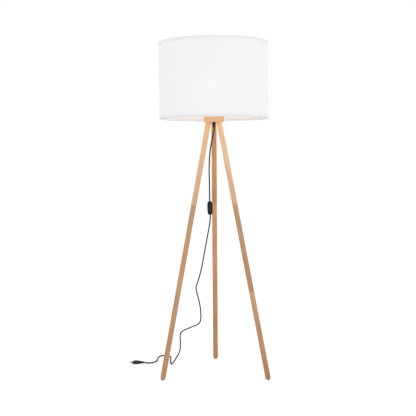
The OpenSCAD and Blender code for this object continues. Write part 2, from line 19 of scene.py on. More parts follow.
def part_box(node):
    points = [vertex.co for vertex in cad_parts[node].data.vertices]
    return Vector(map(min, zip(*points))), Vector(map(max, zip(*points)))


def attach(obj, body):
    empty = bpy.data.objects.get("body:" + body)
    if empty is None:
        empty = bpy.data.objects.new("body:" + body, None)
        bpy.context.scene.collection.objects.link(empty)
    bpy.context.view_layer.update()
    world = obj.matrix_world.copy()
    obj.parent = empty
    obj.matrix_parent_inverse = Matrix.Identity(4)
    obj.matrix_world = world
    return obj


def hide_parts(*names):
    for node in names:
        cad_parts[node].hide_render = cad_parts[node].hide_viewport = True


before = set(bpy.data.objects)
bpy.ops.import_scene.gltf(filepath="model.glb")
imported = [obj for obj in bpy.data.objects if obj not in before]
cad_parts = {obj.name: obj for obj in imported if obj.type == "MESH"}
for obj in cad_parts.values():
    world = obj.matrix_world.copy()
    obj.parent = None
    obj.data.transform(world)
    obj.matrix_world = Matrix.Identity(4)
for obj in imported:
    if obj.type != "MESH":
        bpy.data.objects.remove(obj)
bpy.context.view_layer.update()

log = logging.getLogger("floor_lamp")

Colour = tuple[float, float, float]
Point = tuple[float, float, float]
MM = 0.001
FULL_TURN = math.tau
HEAD_UNDERSIDE = 1.159
LEG_TILT = math.radians(12)
LEG_RADIUS_AT_HEAD = 0.028
SECTION_LENGTH = 0.3983
LEAD_BORE = 0.0033
FACING = Matrix.Rotation(math.pi / 2, 4, "X")


class Body(Enum):
    """The CAD bodies that pieces ride on."""

    STAND = "stand"
    SHADE = "shade"
    ROCKER = "rocker"


class Slot(Enum):
    """The names of the record's material slots for the new pieces."""

    PLASTIC = "black_plastic"
    LEAD = "black_lead"
    CLOTH = "shade_fabric"


# ---------------------------------------------------------------- shader sockets


def operator(operation: str, swapped: bool = False) -> Callable[["Wire", Any], "Wire"]:
    """Makes the method behind one of Python's arithmetic operators.

    Args:
        operation: The Math node's operation.
        swapped: Whether the wire stands on the right of the sign.

    Returns:
        The method.
    """

    def apply(wire: "Wire", other: Any) -> "Wire":
        """Adds the Math node to the wire's recipe."""
        first, second = (other, wire) if swapped else (wire, other)
        return wire.recipe.node("ShaderNodeMath", {"operation": operation}, {0: first, 1: second})

    return apply


@dataclass(frozen=True)
class Wire:
    """A shader value that Python's arithmetic can be used on."""

    recipe: "Recipe"
    socket: Any

    __add__ = operator("ADD")
    __radd__ = operator("ADD", swapped=True)
    __sub__ = operator("SUBTRACT")
    __rsub__ = operator("SUBTRACT", swapped=True)
    __mul__ = operator("MULTIPLY")
    __rmul__ = operator("MULTIPLY", swapped=True)
    __truediv__ = operator("DIVIDE")
    __pow__ = operator("POWER")

    def sine(self) -> "Wire":
        """Sine of the value."""
        return self.recipe.node("ShaderNodeMath", {"operation": "SINE"}, {0: self})

    def span(self, low: float, high: float) -> "Wire":
        """Stretches low..high to 0..1 and clips what lies outside.

        Args:
            low: The value that becomes 0.
            high: The value that becomes 1.

        Returns:
            The stretched value.
        """
        ends = {"Value": self, "From Min": low, "From Max": high}
        return self.recipe.node("ShaderNodeMapRange", {"clamp": True}, ends)


class Recipe:
    """The node tree of one material."""

    def __init__(self, name: str) -> None:
        """Starts an empty material with a Principled shader.

        Args:
            name: The material's name.
        """
        self.material = bpy.data.materials.new(name)
        self.material.use_nodes = True
        self.tree = self.material.node_tree
        self.tree.nodes.clear()
        self.shader = self.node("ShaderNodeBsdfPrincipled")
        self.node("ShaderNodeOutputMaterial", inputs={"Surface": self.shader}, output=None)

    def node(
        self, kind: str, settings: dict[str, Any] | None = None, inputs: dict[Any, Any] | None = None,
        output: int | str | None = 0,
    ) -> Any:
        """Adds a node.

        Args:
            kind: The node's type.
            settings: Its own settings; "stops" sets a colour ramp.
            inputs: A value or a Wire for each input, by name or number.
            output: The output to give back, or None for the node itself.

        Returns:
            The chosen output as a Wire, or the node.
        """
        made = self.tree.nodes.new(kind)
        for key, value in (settings or {}).items():
            if key == "stops":
                ramp = made.color_ramp.elements
                while len(ramp) < len(value):
                    ramp.new(0.5)
                for stop, (place, colour) in zip(ramp, value):
                    stop.position, stop.color = place, (*colour, 1.0)
            else:
                setattr(made, key, value)
        self.feed(made, inputs or {})
        return made if output is None else Wire(self, made.outputs[output])

    def feed(self, node: Any, inputs: dict[Any, Any]) -> None:
        """Sets or links a node's inputs.

        Args:
            node: The node.
            inputs: A value or a Wire for each input, by name or number.
        """
        for key, value in inputs.items():
            socket = node.inputs[key]
            if isinstance(value, Wire):
                self.tree.links.new(value.socket, socket)
            elif socket.type == "RGBA" and len(value) == 3:
                socket.default_value = (*value, 1.0)
            else:
                socket.default_value = value

    def set_shader(self, **inputs: Any) -> None:
        """Sets the Principled shader's sockets; underscores in the names stand for spaces."""
        self.feed(self.shader.socket.node, {key.replace("_", " "): value for key, value in inputs.items()})

    def place(
        self, centre: Point = (0, 0, 0), turn: Point = (0, 0, 0), stretch: Point = (1, 1, 1),
        source: str = "Object",
    ) -> Wire:
        """The coordinates that a pattern is laid out in.

        Args:
            centre: Where the pattern's centre lies.
            turn: How the pattern is turned, as XYZ angles.
            stretch: How long the pattern is drawn out along each of its axes.
            source: "Object", or "UV" for a piece's own map in metres.

        Returns:
            The coordinates.
        """
        spot = self.node("ShaderNodeTexCoord", output=source)
        return self.node("ShaderNodeMapping", {"vector_type": "TEXTURE"},
                         {"Vector": spot, "Location": centre, "Rotation": turn, "Scale": stretch})

    def noise(self, place: Wire, scale: float, detail: float = 2.0, rough: float = 0.5) -> Wire:
        """Cloudy noise, about 0.5 in the mean.

        Args:
            place: The coordinates it reads.
            scale: How many clouds a metre.
            detail: How many finer layers lie on it.
            rough: How strong the finer layers are.

        Returns:
            The noise.
        """
        return self.node("ShaderNodeTexNoise", None,
                         {"Vector": place, "Scale": scale, "Detail": detail, "Roughness": rough})

    def blend(self, first: Any, second: Any, share: Any) -> Wire:
        """A mix of two colours; the share is how much of the second there is."""
        colours = {0: share, 6: first, 7: second}
        return self.node("ShaderNodeMix", {"data_type": "RGBA", "clamp_factor": True}, colours, 2)

    def bump(self, height: Wire, depth: float, strength: float = 1.0) -> Wire:
        """A Bump node; a height of 1 stands for depth metres."""
        return self.node("ShaderNodeBump", None, {"Height": height, "Distance": depth, "Strength": strength})

    def part(self, vector: Wire, axis: str) -> Wire:
        """The X, Y or Z part of a vector."""
        return self.node("ShaderNodeSeparateXYZ", None, {0: vector}, axis)

    def scaled(self, vector: Wire, by: Point) -> Wire:
        """A vector times another, part by part."""
        return self.node("ShaderNodeVectorMath", {"operation": "MULTIPLY"}, {0: vector, 1: by})

    def length(self, vector: Wire) -> Wire:
        """The length of a vector."""
        return self.node("ShaderNodeVectorMath", {"operation": "LENGTH"}, {0: vector}, "Value")


# ---------------------------------------------------------------- finishes


def toned(colour: Colour, by: float) -> Colour:
    """A colour made lighter or darker."""
    return tuple(by * part for part in colour)


@dataclass(frozen=True)
class Finish:
    """A finish that makes its material once and then lends it out."""

    name: str

    def brew(self, recipe: Recipe) -> None:
        """Fills in the recipe's nodes.

        Args:
            recipe: The material's recipe.
        """
        raise NotImplementedError

    def material(self) -> bpy.types.Material:
        """The finish's material."""
        found = bpy.data.materials.get(self.name)
        if found is None:
            recipe = Recipe(self.name)
            self.brew(recipe)
            found = recipe.material
        return found

    def dress(self, piece: bpy.types.Object) -> None:
        """Puts the finish on a piece."""
        piece.data.materials.clear()
        piece.data.materials.append(self.material())


@dataclass(frozen=True)
class OiledWood(Finish):
    """Pale hardwood with straight grain along its own Z, oiled to a satin sheen."""

    tone: Colour = (0.66, 0.44, 0.26)
    # Factors for the colour at the top and bottom of the reach; on the legs they paint light: lighter near
    # the head, darker towards the feet.
    ends: tuple[Colour, Colour] = ((1, 1, 1), (1, 1, 1))
    reach: tuple[float, float] = (-0.4, 0.0)
    centre: Point = (0, 0, 0)
    turn: Point = (0, 0, 0)
    ring_gap: float = 0.0042
    pith: Point = (0.055, 0.02, 0)

    def brew(self, recipe: Recipe) -> None:
        """Growth rings about a pith off to one side, long streaks, and short dark pores.

        Args:
            recipe: The material's recipe.
        """
        here = recipe.place(self.centre, self.turn)
        long = recipe.scaled(here, (1, 1, 0.045))
        wander = recipe.noise(long, 38, 2)
        squashed = recipe.scaled(here, (1, 1, 0.02))
        flat = recipe.node("ShaderNodeVectorMath", {"operation": "ADD"}, {0: squashed, 1: self.pith})
        rings = (recipe.length(flat) * (FULL_TURN / self.ring_gap) + wander * 9).sine() * 0.5 + 0.5
        streaks = recipe.noise(long, 420, 3, 0.6)
        patches = recipe.noise(recipe.scaled(here, (1, 1, 0.12)), 26, 2)
        pores = recipe.noise(recipe.scaled(here, (1, 1, 0.07)), 1900, 1).span(0.64, 0.74)
        grain = (rings ** 2.0) * 0.38 + streaks * 0.5 + patches * 0.55 - 0.28
        # The colour is blended between the two ends along Z; on the legs this is painted light.
        along = recipe.part(here, "Z").span(*self.reach)
        upper, lower = (tuple(a * b for a, b in zip(self.tone, end)) for end in self.ends)
        level = recipe.blend(lower, upper, along)
        pale = recipe.scaled(level, (1.07, 1.08, 1.10))
        deep = recipe.scaled(level, (0.84, 0.80, 0.76))
        colour = recipe.blend(pale, deep, grain)
        recipe.set_shader(
            Base_Color=recipe.blend(colour, recipe.scaled(level, (0.60, 0.54, 0.48)), pores * 0.38),
            Roughness=streaks * 0.14 + pores * 0.12 + 0.47,
            Specular_IOR_Level=0.22,
            Normal=recipe.bump(streaks * 0.6 - pores * 0.8 + rings * 0.2, 0.00012),
        )


@dataclass(frozen=True)
class ShadeCloth(Finish):
    """White plain-weave cotton, with a painted glow where the bulb stands behind it."""

    colour: Colour = (0.862, 0.862, 0.876)
    # The painted glow: its emission colour, the warmer base colour under it, its height and its reach.
    glow: Colour = (1.0, 0.80, 0.50)
    painted_glow_tint: Colour = (0.872, 0.866, 0.846)
    glow_height: float = 1.290
    glow_reach: tuple[float, float] = (0.10, 0.085)
    thread: float = 0.0006
    lit: float = 0.035
    rims: tuple[float, float] = (1.173, 1.518)
    # 1 on the hems: no painted glow, and a painted shadow line darkening the cloth within 6 mm of each rim.
    painted_hem_shade: float = 0.0

    def brew(self, recipe: Recipe) -> None:
        """Threads both ways, thicker slubs among them, and a painted spot of lamplight in front of the bulb.

        Args:
            recipe: The material's recipe.
        """
        cloth = recipe.place(source="UV")
        turns = FULL_TURN / self.thread
        across = recipe.part(cloth, "X") * turns
        along = recipe.part(cloth, "Y") * turns
        weave = across.sine() * along.sine() * 0.5 + 0.5
        weft = recipe.noise(recipe.place(stretch=(0.055, 0.0011, 1), source="UV"), 1, 2)
        warp = recipe.noise(recipe.place(stretch=(0.0011, 0.045, 1), source="UV"), 1, 2)
        slubs = weft.span(0.56, 0.72) + warp.span(0.58, 0.74)
        clouds = recipe.noise(cloth, 9, 2)
        shade = slubs * 0.35 + (1 - weave) * 0.18 + clouds * 0.35
        darker = toned(self.colour, 0.93)
        # Painted glow: a spot of lamplight at the bulb's height, centred on X = 0 front and back, tints the
        # base colour warm and drives the emission.
        level = recipe.part(recipe.place(), "Z")
        sideways = recipe.part(recipe.place(), "X") / self.glow_reach[0]
        height = (level - self.glow_height) / self.glow_reach[1]
        glow = (sideways * sideways + height * height + 1) ** -1.5
        # Painted shadow along the rims: where the share is set, the colour turns darker within 6 mm of each
        # rim.
        inside = (level - self.rims[0]).span(0, 0.006) * (self.rims[1] - level).span(0, 0.006)
        plain = recipe.blend(self.colour, self.painted_glow_tint, glow * (1 - self.painted_hem_shade))
        folded = toned(self.colour, 0.86)
        recipe.set_shader(
            Base_Color=recipe.blend(recipe.blend(plain, darker, shade), folded, (1 - inside) * self.painted_hem_shade),
            Roughness=0.82 + slubs * 0.05,
            Emission_Color=recipe.blend((0, 0, 0), self.glow, glow * (1 - slubs * 0.25)),
            Emission_Strength=self.lit,
            Normal=recipe.bump(weave * 0.5 + slubs * 0.8, 0.00015, 0.6),
        )


@dataclass(frozen=True)
class LinerFilm(Finish):
    """The smooth film that the cloth is laminated on."""

    colour: Colour = (0.90, 0.87, 0.83)

    def brew(self, recipe: Recipe) -> None:
        """A satin film, through which the weave shows as fine lines.

        Args:
            recipe: The material's recipe.
        """
        here = recipe.place(stretch=(1, 1, 0.02))
        lines = recipe.noise(here, 30, 3)
        clouds = recipe.noise(recipe.place(), 7, 2)
        recipe.set_shader(
            Base_Color=recipe.blend(self.colour, toned(self.colour, 0.93), lines * 0.6 + clouds * 0.4),
            Roughness=clouds * 0.12 + 0.34,
            Normal=recipe.bump(recipe.noise(recipe.place(), 500, 2), 0.0001, 0.5),
        )


@dataclass(frozen=True)
class Moulded(Finish):
    """Moulded plastic with a fine spark-eroded grain."""

    colour: Colour = (0.006, 0.006, 0.0065)
    worn: Colour = (0.020, 0.020, 0.021)
    rough: float = 0.50
    shine: float = 0.25
    grain: float = 2600
    depth: float = 0.00006

    def brew(self, recipe: Recipe) -> None:
        """Fine grain, with handling marks that change its gloss.

        Args:
            recipe: The material's recipe.
        """
        here = recipe.place()
        grain = recipe.noise(here, self.grain, 2)
        marks = recipe.noise(here, 90, 3, 0.6)
        recipe.set_shader(
            Base_Color=recipe.blend(self.colour, self.worn, marks.span(0.45, 0.8) * 0.6 + grain * 0.25),
            Roughness=marks * 0.14 + grain * 0.06 + (self.rough - 0.1),
            Specular_IOR_Level=self.shine,
            Normal=recipe.bump(grain, self.depth, 0.7),
        )


class MetalLook(Enum):
    """How a metal's surface was finished: its base colour, darker tone and roughness."""

    ZINC = ((0.66, 0.67, 0.69), (0.50, 0.51, 0.53), 0.30)
    BRASS = ((0.78, 0.56, 0.25), (0.58, 0.38, 0.15), 0.28)
    NICKEL = ((0.72, 0.70, 0.66), (0.55, 0.53, 0.50), 0.18)


@dataclass(frozen=True)
class BareMetal(Finish):
    """Plain plated or turned metal."""

    look: MetalLook = MetalLook.ZINC

    def brew(self, recipe: Recipe) -> None:
        """Turning marks round the axis, and cloudy tarnish.

        Args:
            recipe: The material's recipe.
        """
        bright, dull, rough = self.look.value
        marks = recipe.noise(recipe.place(stretch=(1, 1, 0.02)), 300, 2)
        tarnish = recipe.noise(recipe.place(), 160, 3, 0.65)
        recipe.set_shader(
            Base_Color=recipe.blend(bright, dull, tarnish.span(0.35, 0.75)),
            Metallic=1.0,
            Roughness=marks * 0.1 + tarnish * 0.14 + (rough - 0.08),
            Normal=recipe.bump(marks, 0.00003, 0.5),
        )


@dataclass(frozen=True)
class PowderCoat(Finish):
    """White powder coat with a fine orange peel."""

    colour: Colour = (0.83, 0.83, 0.82)

    def brew(self, recipe: Recipe) -> None:
        """Rounded pits and slightly thinner, greyer patches.

        Args:
            recipe: The material's recipe.
        """
        peel = recipe.noise(recipe.place(), 900, 1)
        thin = recipe.noise(recipe.place(), 60, 3)
        recipe.set_shader(
            Base_Color=recipe.blend(self.colour, toned(self.colour, 0.93), thin.span(0.4, 0.8)),
            Roughness=thin * 0.12 + 0.30,
            Coat_Weight=0.15,
            Normal=recipe.bump(peel, 0.00008, 0.6),
        )


@dataclass(frozen=True)
class Glazed(Finish):
    """Glazed insulator or smooth moulded bulb body."""

    colour: Colour = (0.80, 0.79, 0.75)
    rough: float = 0.22

    def brew(self, recipe: Recipe) -> None:
        """A smooth body with faint clouds and specks.

        Args:
            recipe: The material's recipe.
        """
        clouds = recipe.noise(recipe.place(), 120, 3)
        specks = recipe.noise(recipe.place(), 1500, 1).span(0.70, 0.78)
        recipe.set_shader(
            Base_Color=recipe.blend(self.colour, toned(self.colour, 0.82), clouds * 0.4 + specks * 0.5),
            Roughness=clouds * 0.1 + (self.rough - 0.05),
            Normal=recipe.bump(clouds, 0.00005, 0.4),
        )


@dataclass(frozen=True)
class LitOpal(Finish):
    """Opal globe with the lamp's light in it."""

    colour: Colour = (0.50, 0.49, 0.45)
    light: Colour = (1.0, 0.90, 0.70)
    rim: Colour = (0.62, 0.50, 0.34)
    strength: float = 0.42
    rim_height: float = 1.29
    crown_height: float = 1.325

    def brew(self, recipe: Recipe) -> None:
        """Light that fades a little towards the collar, with faint streaks of the coating.

        Args:
            recipe: The material's recipe.
        """
        rise = recipe.part(recipe.place(), "Z").span(self.rim_height, self.crown_height)
        streaks = recipe.noise(recipe.place(stretch=(1, 1, 4)), 120, 2)
        recipe.set_shader(
            Base_Color=recipe.blend(self.colour, toned(self.colour, 0.9), streaks),
            Roughness=streaks * 0.1 + 0.3,
            Emission_Color=recipe.blend(self.rim, self.light, rise + streaks * 0.1),
            Emission_Strength=self.strength,
        )


@dataclass(frozen=True)
class PressedFelt(Finish):
    """Dark brown felt, matted and dusty."""

    colour: Colour = (0.13, 0.075, 0.045)

    def brew(self, recipe: Recipe) -> None:
        """Matted fibres with paler flecks.

        Args:
            recipe: The material's recipe.
        """
        fibres = recipe.noise(recipe.place(), 1600, 4, 0.7)
        flecks = recipe.noise(recipe.place(), 700, 2).span(0.58, 0.75)
        recipe.set_shader(
            Base_Color=recipe.blend(self.colour, toned(self.colour, 2.2), flecks * 0.6 + fibres * 0.3),
            Roughness=0.95 - flecks * 0.05,
            Sheen_Weight=0.3,
            Normal=recipe.bump(fibres, 0.0004),
        )


@dataclass(frozen=True)
class PalePaper(Finish):
    """The seamless pale floor and backdrop."""

    colour: Colour = (0.93, 0.93, 0.93)
    lift: float = 0.16

    def brew(self, recipe: Recipe) -> None:
        """Matt paper with the faintest clouding.

        Args:
            recipe: The material's recipe.
        """
        clouds = recipe.noise(recipe.place(), 2, 2)
        recipe.set_shader(
            Base_Color=recipe.blend(self.colour, toned(self.colour, 0.985), clouds),
            Roughness=0.9 - clouds * 0.02,
            Specular_IOR_Level=0.1,
            Emission_Color=self.colour,
            Emission_Strength=self.lift,
        )


class Finishes:
    """The finishes that this lamp's pieces share."""

    cloth = ShadeCloth("shade_cloth")
    # The hems: cloth painted darker than the skin, as painted shade where the doubled cloth and the wire let
    # less lamplight through, with a painted shadow line at each rim.
    hem = ShadeCloth("shaded_hem_cloth", colour=(0.815, 0.81, 0.815), lit=0.0, painted_hem_shade=1.0)
    liner = LinerFilm("liner_film")
    plastic = Moulded("black_moulding")
    rocker = Moulded("black_rocker", (0.022, 0.021, 0.021), (0.036, 0.035, 0.035), 0.42)
    sheath = Moulded("black_sheath", (0.003, 0.003, 0.0033), (0.012, 0.012, 0.013), 0.50, 0.12, 1400, 0.00004)
    insulator = Moulded("black_insulator", (0.01, 0.01, 0.014), (0.03, 0.03, 0.04), 0.2, 0.5, 3000, 0.00002)
    zinc = BareMetal("bright_zinc", MetalLook.ZINC)
    brass = BareMetal("turned_brass", MetalLook.BRASS)
    nickel = BareMetal("nickel_plate", MetalLook.NICKEL)
    wire = PowderCoat("white_powder_coat")
    ceramic = Glazed("glazed_ceramic")
    bulb_white = Glazed("white_bulb_body", (0.86, 0.86, 0.84), 0.36)
    opal = LitOpal("lit_opal")
    felt = PressedFelt("brown_felt")
    paper = PalePaper("pale_paper")


# ---------------------------------------------------------------- making pieces


def node(name: str) -> bpy.types.Object:
    """The object of a CAD node."""
    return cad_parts[name]


def heights(name: str) -> tuple[float, float]:
    """The lowest and highest Z of a CAD node."""
    low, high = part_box(name)
    return low.z, high.z


def dress_nodes(finish: Finish, names: Iterable[str]) -> None:
    """Gives CAD nodes a finish and reports each.

    Args:
        finish: The finish.
        names: The nodes' names.
    """
    for name in names:
        finish.dress(node(name))
        log.info("finish %-18s on %s", finish.name, name)


def add_object(name: str, data: Any) -> bpy.types.Object:
    """Makes an object of its data and links it to the scene."""
    made = bpy.data.objects.new(name, data)
    bpy.context.scene.collection.objects.link(made)
    return made


def as_data(name: str, mesh: bmesh.types.BMesh) -> bpy.types.Mesh:
    """Turns a bmesh into mesh data and frees it."""
    data = bpy.data.meshes.new(name)
    mesh.to_mesh(data)
    mesh.free()
    return data


def as_piece(name: str, mesh: bmesh.types.BMesh, finish: Finish, body: Body) -> bpy.types.Object:
    """Makes a finished object of a bmesh, in place.

    Args:
        name: The piece's name.
        mesh: Its bmesh, which is freed.
        finish: Its finish.
        body: The CAD body it rides on.

    Returns:
        The object.
    """
    data = as_data(name, mesh)
    data.shade_smooth()
    piece = add_object(name, data)
    finish.dress(piece)
    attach(piece, body.value)
    log.info("made %s, %d faces", name, len(data.polygons))
    return piece


def sharpen(piece: bpy.types.Object, degrees: float) -> None:
    """Marks the edges that bend by more than an angle as sharp, and the rest as smooth.

    Args:
        piece: The piece.
        degrees: The angle.
    """
    limit = math.radians(degrees)
    mesh = bmesh.new()
    mesh.from_mesh(piece.data)
    for edge in mesh.edges:
        edge.smooth = len(edge.link_faces) != 2 or edge.calc_face_angle() < limit
    mesh.to_mesh(piece.data)
    mesh.free()


def add_turned(mesh: bmesh.types.BMesh, outline: Sequence[tuple[float, float]], steps: int) -> None:
    """Spins a closed outline of (radius, height) points once about Z.

    Args:
        mesh: The bmesh it is added to.
        outline: The points, in metres.
        steps: How many steps the full turn takes.
    """
    verts = [mesh.verts.new((radius, 0, height)) for radius, height in outline]
    edges = [mesh.edges.new(pair) for pair in zip(verts, [*verts[1:], verts[0]])]
    bmesh.ops.spin(mesh, geom=verts + edges, cent=(0, 0, 0), axis=(0, 0, 1), angle=FULL_TURN, steps=steps,
                   use_merge=True, use_duplicate=False)
    bmesh.ops.remove_doubles(mesh, verts=mesh.verts, dist=1e-6)
    bmesh.ops.recalc_face_normals(mesh, faces=mesh.faces)


def wrap_cloth(mesh: bmesh.types.BMesh, radius: float) -> None:
    """Gives a turned mesh a UV map in metres: round the drum, and up it.

    Args:
        mesh: The bmesh.
        radius: The drum's radius.
    """
    layer = mesh.loops.layers.uv.new("UVMap")
    for face in mesh.faces:
        middle = face.calc_center_median()
        home = math.atan2(middle.y, middle.x)
        for loop in face.loops:
            angle = math.atan2(loop.vert.co.y, loop.vert.co.x)
            swing = (angle - home + math.pi) % FULL_TURN - math.pi
            loop[layer].uv = (radius * (home + swing), loop.vert.co.z)


def superellipse(angle: float, half_x: float, half_y: float, power: float) -> tuple[float, float]:
    """A point of a superellipse.

    Args:
        angle: The angle round it.
        half_x: Half its width.
        half_y: Half its height.
        power: Its squareness; 2 is an ellipse.

    Returns:
        The point.
    """
    c, s = math.cos(angle), math.sin(angle)
    return (
        half_x * math.copysign(abs(c) ** (2 / power), c),
        half_y * math.copysign(abs(s) ** (2 / power), s),
    )


@dataclass(frozen=True)
class Section:
    """One cross-section of a lofted body: its height, half sizes and squareness."""

    z: float
    half_x: float
    half_y: float
    power: float


def loft(sections: Sequence[Section], sides: int) -> bmesh.types.BMesh:
    """Bridges cross-sections into a closed body along Z.

    Args:
        sections: The cross-sections, from one end to the other.
        sides: How many points each one has.

    Returns:
        The body's bmesh.
    """
    mesh = bmesh.new()
    loops = []
    for section in sections:
        ring = bmesh.ops.create_circle(mesh, cap_ends=False, radius=1, segments=sides)["verts"]
        for vert in ring:
            angle = math.atan2(vert.co.y, vert.co.x)
            vert.co = (*superellipse(angle, section.half_x, section.half_y, section.power), section.z)
        loops.append(list({edge for vert in ring for edge in vert.link_edges}))
    for below, above in zip(loops, loops[1:]):
        bmesh.ops.bridge_loops(mesh, edges=below + above)
    bmesh.ops.holes_fill(mesh, edges=mesh.edges, sides=0)
    bmesh.ops.recalc_face_normals(mesh, faces=mesh.faces)
    return mesh


def round_edges(mesh: bmesh.types.BMesh, edges: Iterable[Any], offset: float, segments: int = 3) -> None:
    """Bevels edges by an offset."""
    bmesh.ops.bevel(mesh, geom=list(edges), offset=offset, affect="EDGES", segments=segments,
                    profile=0.5, material=-1)


def box_mesh(size: Point, centre: Point, rounding: float) -> bmesh.types.BMesh:
    """A box with all its edges rounded.

    Args:
        size: Its three sizes.
        centre: Its centre.
        rounding: The radius of its edges.

    Returns:
        The box's bmesh.
    """
    mesh = bmesh.new()
    bmesh.ops.create_cube(mesh, size=1, matrix=Matrix.Translation(centre) @ Matrix.Diagonal((*size, 1)))
    round_edges(mesh, mesh.edges, rounding)
    return mesh


def rod_mesh(radius: float, depth: float, segments: int = 32) -> bmesh.types.BMesh:
    """A capped cylinder along Z, centred on the origin."""
    mesh = bmesh.new()
    bmesh.ops.create_cone(mesh, cap_ends=True, segments=segments, radius1=radius, radius2=radius, depth=depth)
    return mesh


def merge(*meshes: bmesh.types.BMesh) -> bmesh.types.BMesh:
    """Joins bmeshes into the first one.

    Args:
        *meshes: The bmeshes; all but the first are freed.

    Returns:
        The first one.
    """
    first = meshes[0]
    for other in meshes[1:]:
        data = as_data("joined", other)
        first.from_mesh(data)
        bpy.data.meshes.remove(data)
    return first


def carve(piece: bpy.types.Object, cutter: bmesh.types.BMesh) -> None:
    """Takes a shape away from a piece for good.

    Args:
        piece: The piece.
        cutter: The shape's bmesh, which is freed.
    """
    data = as_data("cutter", cutter)
    tool = add_object("cutter", data)
    cut = piece.modifiers.new("cut", "BOOLEAN")
    cut.operation, cut.solver, cut.object = "DIFFERENCE", "EXACT", tool
    depsgraph = bpy.context.evaluated_depsgraph_get()
    result = bpy.data.meshes.new_from_object(piece.evaluated_get(depsgraph))
    piece.modifiers.clear()
    piece.data = result
    bpy.data.objects.remove(tool)
    bpy.data.meshes.remove(data)


def move_all(mesh: bmesh.types.BMesh, matrix: Matrix) -> bmesh.types.BMesh:
    """Moves a whole bmesh.

    Args:
        mesh: The bmesh.
        matrix: Where it goes.

    Returns:
        The same bmesh.
    """
    bmesh.ops.transform(mesh, matrix=matrix, verts=mesh.verts)
    return mesh


# ---------------------------------------------------------------- studio


@dataclass
class Studio:
    """Camera, floor and light."""

    camera_at: Point = (-0.0296, -3.931, 0.9934)
    pitch: float = 0.0580
    roll: float = -0.0070
    turn: float = math.radians(0.629)
    lens: float = 74.02
    floor_half: float = 14.0
    sky: Colour = (1.0, 1.0, 1.0)
    sky_strength: float = 1.0
    light_below_crown: float = 0.030

    def set_camera(self) -> None:
        """Makes the camera and gives it to the scene."""
        data = bpy.data.cameras.new("view")
        data.sensor_width, data.lens = 36.0, self.lens
        data.clip_start, data.clip_end = 0.05, 100
        camera = add_object("view", data)
        rise = Euler((math.pi / 2 - self.pitch, 0, 0)).to_matrix().to_4x4()
        aim = rise @ Matrix.Rotation(self.roll, 4, "Z")
        camera.matrix_world = Matrix.Rotation(self.turn, 4, "Z") @ Matrix.Translation(self.camera_at) @ aim
        bpy.context.scene.camera = camera
        log.info("camera at %s", tuple(round(part, 4) for part in camera.matrix_world.translation))

    def lay_floor(self) -> None:
        """Lays the pale floor."""
        mesh = bmesh.new()
        bmesh.ops.create_grid(mesh, x_segments=8, y_segments=8, size=self.floor_half)
        floor = add_object("floor", as_data("floor", mesh))
        Finishes.paper.dress(floor)

    def hang_light(self, name: str, at: Point, aim: Point, size: float, power: float, colour: Colour) -> None:
        """Hangs one soft square light.

        Args:
            name: Its name.
            at: Where it hangs.
            aim: The point it faces.
            size: The length of its side.
            power: Its power in watts.
            colour: Its colour.
        """
        data = bpy.data.lights.new(name, "AREA")
        data.size, data.energy, data.color = size, power, colour
        light = add_object(name, data)
        light.location = at
        light.rotation_euler = (Vector(aim) - Vector(at)).to_track_quat("-Z", "Y").to_euler()

    def light_up(self) -> None:
        """Sets the even sky, the soft boxes and the light of the bulb itself."""
        world = bpy.data.worlds.new("studio")
        world.use_nodes = True
        ground = world.node_tree.nodes["Background"]
        ground.inputs["Color"].default_value = (*self.sky, 1)
        ground.inputs["Strength"].default_value = self.sky_strength
        bpy.context.scene.world = world
        self.hang_light("overhead", (0.8, -0.8, 4.6), (0, 0, 0.4), 2.6, 16, (1, 1, 1))
        self.hang_light("front_right", (3.0, -3.4, 2.0), (0, 0, 0.9), 1.6, 1.5, (1, 1, 1))
        glow = bpy.data.lights.new("bulb_light", "POINT")
        glow.energy, glow.color, glow.shadow_soft_size = 3.6, (1.0, 0.93, 0.86), 0.032
        spot = add_object("bulb_light", glow)
        spot.location = (0, 0, heights("bulb_globe")[1] - self.light_below_crown)
        spot.visible_camera = False

    def build(self) -> None:
        """Builds the studio."""
        bpy.context.scene.view_settings.view_transform = "Standard"
        self.set_camera()
        self.lay_floor()
        self.light_up()


# ---------------------------------------------------------------- lead


@dataclass
class SwitchPlace:
    """Where the hand switch hangs: its frame has Z along the lead and its front to -Y."""

    centre: Point = (-0.0205, 0.0, 0.765)
    tilt: float = math.radians(-1.8)
    length: float = 0.062
    width: float = 0.025
    depth: float = 0.017
    lead_inside: float = 0.009

    def matrix(self) -> Matrix:
        """The switch's frame."""
        return Matrix.Translation(self.centre) @ Matrix.Rotation(self.tilt, 4, "Y")

    def point(self, z: float) -> Vector:
        """A point of the switch's centre line, z above its middle."""
        return self.matrix() @ Vector((0, 0, z))


@dataclass
class PlugPlace:
    """Where the plug lies: its frame has Z from the lead's entry to the pins, X across the pins."""

    entry: Point = (-0.350, 0.171, 0.0068)
    turn: float = math.radians(175)
    lead_inside: float = 0.008

    def matrix(self) -> Matrix:
        """The plug's frame."""
        stand_up = Euler((math.pi / 2, 0, math.pi / 2)).to_matrix().to_4x4()
        return Matrix.Translation(self.entry) @ Matrix.Rotation(self.turn, 4, "Z") @ stand_up

    def point(self, z: float) -> Vector:
        """A point of the plug's centre line, z beyond the lead's entry."""
        return self.matrix() @ Vector((0, 0, z))


